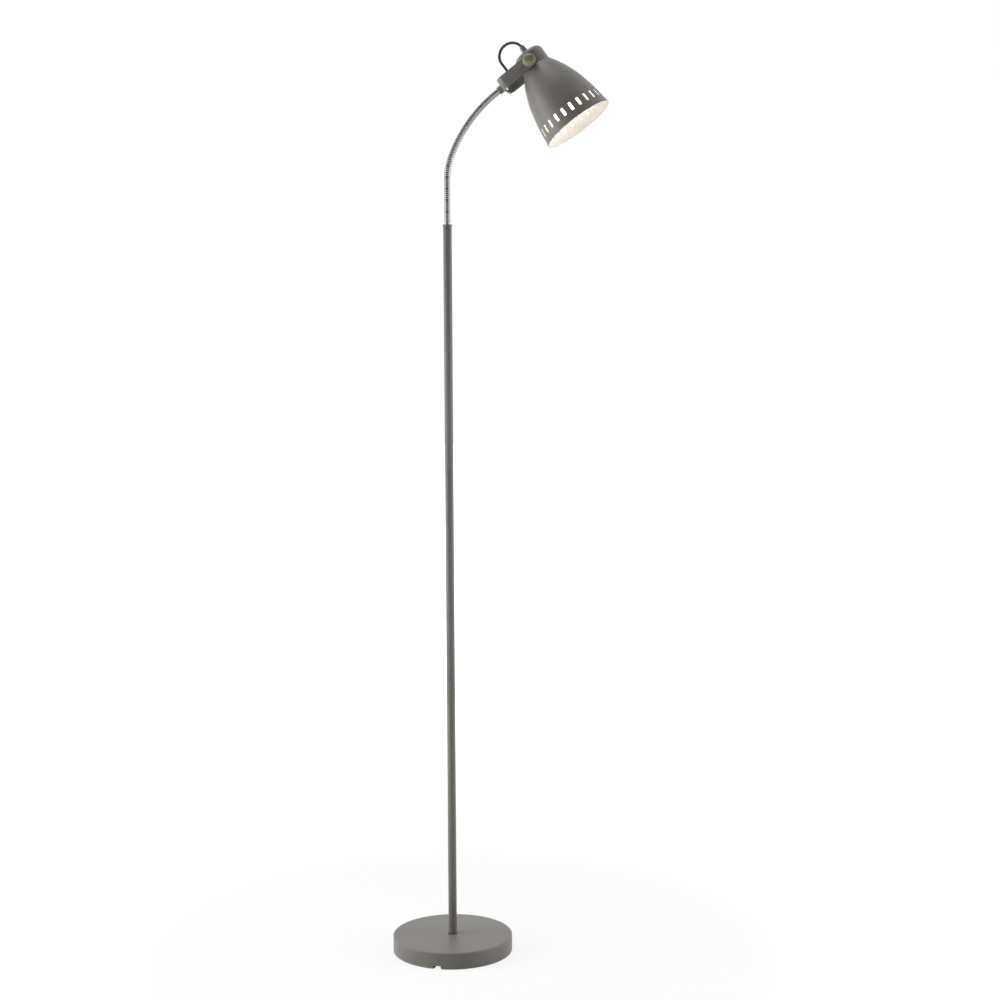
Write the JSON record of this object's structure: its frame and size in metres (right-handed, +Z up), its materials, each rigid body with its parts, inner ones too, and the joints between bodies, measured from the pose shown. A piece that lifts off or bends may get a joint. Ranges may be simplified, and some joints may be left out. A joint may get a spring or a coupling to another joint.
{
  "type": "floor_lamp",
  "caption": "Reading floor lamp: round weighted base, slim column, flexible gooseneck, and a slotted bell shade that tilts in a yoke between hand knobs.",
  "frame": {"origin": "On the floor under the middle of the round base", "axes": "+Z up; +X the way the neck bends and the head hangs; +Y the back, with the cord notch on the -Y side of the base"},
  "size_m": [0.364, 0.2, 1.4978],
  "materials": {
    "paint": "satin",
    "cast_iron": "matte",
    "zinc_steel": "satin",
    "neck_chrome": "satin",
    "knob_brass": "satin",
    "nickel_brass": "satin",
    "bulb_cap_metal": "satin",
    "black_plastic": "matte",
    "white_plastic": "satin",
    "grip_plastic": "satin",
    "black_rubber": "matte",
    "pad_foam": "matte",
    "bulb_glass": "frosted"
  },
  "bodies": {
    "stand": {"base_pad": "pad_foam", "base_weight": "cast_iron", "base_cover": "paint", "base_stud": "zinc_steel", "base_washer": "zinc_steel", "base_nut": "zinc_steel", "cord_bush": "black_plastic", "foot_washer": "black_plastic", "foot_bush": "zinc_steel", "pole_lower": "paint", "pole_middle": "paint", "pole_upper": "paint", "pole_joiner_lower": "zinc_steel", "pole_joiner_upper": "zinc_steel", "pole_end_bush": "paint", "neck_stem": "neck_chrome", "neck_link_1": "neck_chrome"},
    "neck_2": {"neck_link_2": "neck_chrome"},
    "neck_3": {"neck_link_3": "neck_chrome"},
    "neck_4": {"neck_link_4": "neck_chrome"},
    "neck_5": {"neck_link_5": "neck_chrome"},
    "neck_6": {"neck_link_6": "neck_chrome"},
    "neck_7": {"neck_link_7": "neck_chrome"},
    "neck_8": {"neck_link_8": "neck_chrome"},
    "neck_9": {"neck_link_9": "neck_chrome"},
    "neck_10": {"neck_link_10": "neck_chrome"},
    "neck_11": {"neck_link_11": "neck_chrome"},
    "neck_12": {"neck_link_12": "neck_chrome"},
    "yoke": {"neck_link_13": "neck_chrome", "neck_ferrule": "paint", "yoke": "paint", "yoke_tail": "zinc_steel", "yoke_nut": "zinc_steel", "cable_bush": "black_plastic", "head_cable": "black_rubber"},
    "head": {"shade": "paint", "cap": "paint", "pivot_spacers": "black_plastic", "pivot_nuts": "zinc_steel", "lampholder_shell": "white_plastic", "shade_ring": "white_plastic", "lampholder_sleeve": "nickel_brass", "lampholder_block": "white_plastic", "lampholder_contact": "nickel_brass", "grip_nipple": "zinc_steel", "cap_nut": "zinc_steel", "cord_grip": "grip_plastic"},
    "bulb": {"bulb_glass": "bulb_glass", "bulb_cap": "bulb_cap_metal", "bulb_contact": "nickel_brass"},
    "knob_front": {"knob_front": "knob_brass", "pivot_stud_front": "zinc_steel", "arm_washer_front": "zinc_steel"},
    "knob_back": {"knob_back": "knob_brass", "pivot_stud_back": "zinc_steel", "arm_washer_back": "zinc_steel"}
  },
  "joints": [
    {"name": "neck_bend_1", "type": "hinge", "parent": "stand", "child": "neck_2", "pos_m": [0, 0, 1.23129], "axis": [0, 1, 0], "range_deg": [-8.8, 10]},
    {"name": "neck_side_1", "type": "hinge", "parent": "neck_2", "child": "neck_3", "pos_m": [0, 0, 1.24959], "axis": [1, 0, 0], "range_deg": [-7.5, 7.5]},
    {"name": "neck_bend_2", "type": "hinge", "parent": "neck_3", "child": "neck_4", "pos_m": [0, 0, 1.26788], "axis": [0, 1, 0], "range_deg": [-8.8, 10]},
    {"name": "neck_side_2", "type": "hinge", "parent": "neck_4", "child": "neck_5", "pos_m": [0.00014, 0, 1.28617], "axis": [0.9987, 0, -0.0505], "range_deg": [-7.5, 7.5]},
    {"name": "neck_bend_3", "type": "hinge", "parent": "neck_5", "child": "neck_6", "pos_m": [0.00262, 0, 1.30427], "axis": [0, 1, 0], "range_deg": [-8.8, 10]},
    {"name": "neck_side_3", "type": "hinge", "parent": "neck_6", "child": "neck_7", "pos_m": [0.00817, 0, 1.32168], "axis": [0.9242, 0, -0.3818], "range_deg": [-7.5, 7.5]},
    {"name": "neck_bend_4", "type": "hinge", "parent": "neck_7", "child": "neck_8", "pos_m": [0.01583, 0, 1.33829], "axis": [0, 1, 0], "range_deg": [-8.8, 10]},
    {"name": "neck_side_4", "type": "hinge", "parent": "neck_8", "child": "neck_9", "pos_m": [0.02478, 0, 1.35423], "axis": [0.8516, 0, -0.5242], "range_deg": [-7.5, 7.5]},
    {"name": "neck_bend_5", "type": "hinge", "parent": "neck_9", "child": "neck_10", "pos_m": [0.03498, 0, 1.36941], "axis": [0, 1, 0], "range_deg": [-8.8, 10]},
    {"name": "neck_side_5", "type": "hinge", "parent": "neck_10", "child": "neck_11", "pos_m": [0.04637, 0, 1.38373], "axis": [0.7572, 0, -0.6531], "range_deg": [-7.5, 7.5]},
    {"name": "neck_bend_6", "type": "hinge", "parent": "neck_11", "child": "neck_12", "pos_m": [0.05885, 0, 1.39709], "axis": [0, 1, 0], "range_deg": [-8.8, 10]},
    {"name": "neck_side_6", "type": "hinge", "parent": "neck_12", "child": "yoke", "pos_m": [0.07237, 0, 1.40941], "axis": [0.6435, 0, -0.7654], "range_deg": [-7.5, 7.5]},
    {"name": "head_tilt", "type": "hinge", "parent": "yoke", "child": "head", "pos_m": [0.14372, 0, 1.46291], "axis": [0, -1, 0], "range_deg": [-15, 75], "deforming": ["head_cable"]},
    {"name": "knob_turn_front", "type": "hinge", "parent": "head", "child": "knob_front", "pos_m": [0.14372, 0, 1.46291], "axis": [0, -1, 0], "range_deg": [-360, 0]},
    {"name": "knob_turn_back", "type": "hinge", "parent": "head", "child": "knob_back", "pos_m": [0.14372, 0, 1.46291], "axis": [0, 1, 0], "range_deg": [-360, 0]},
    {"name": "bulb_turn", "type": "hinge", "parent": "head", "child": "bulb", "pos_m": [0.14372, 0, 1.46291], "axis": [-0.5962, 0, 0.8028], "range_deg": [0, 720]}
  ]
}
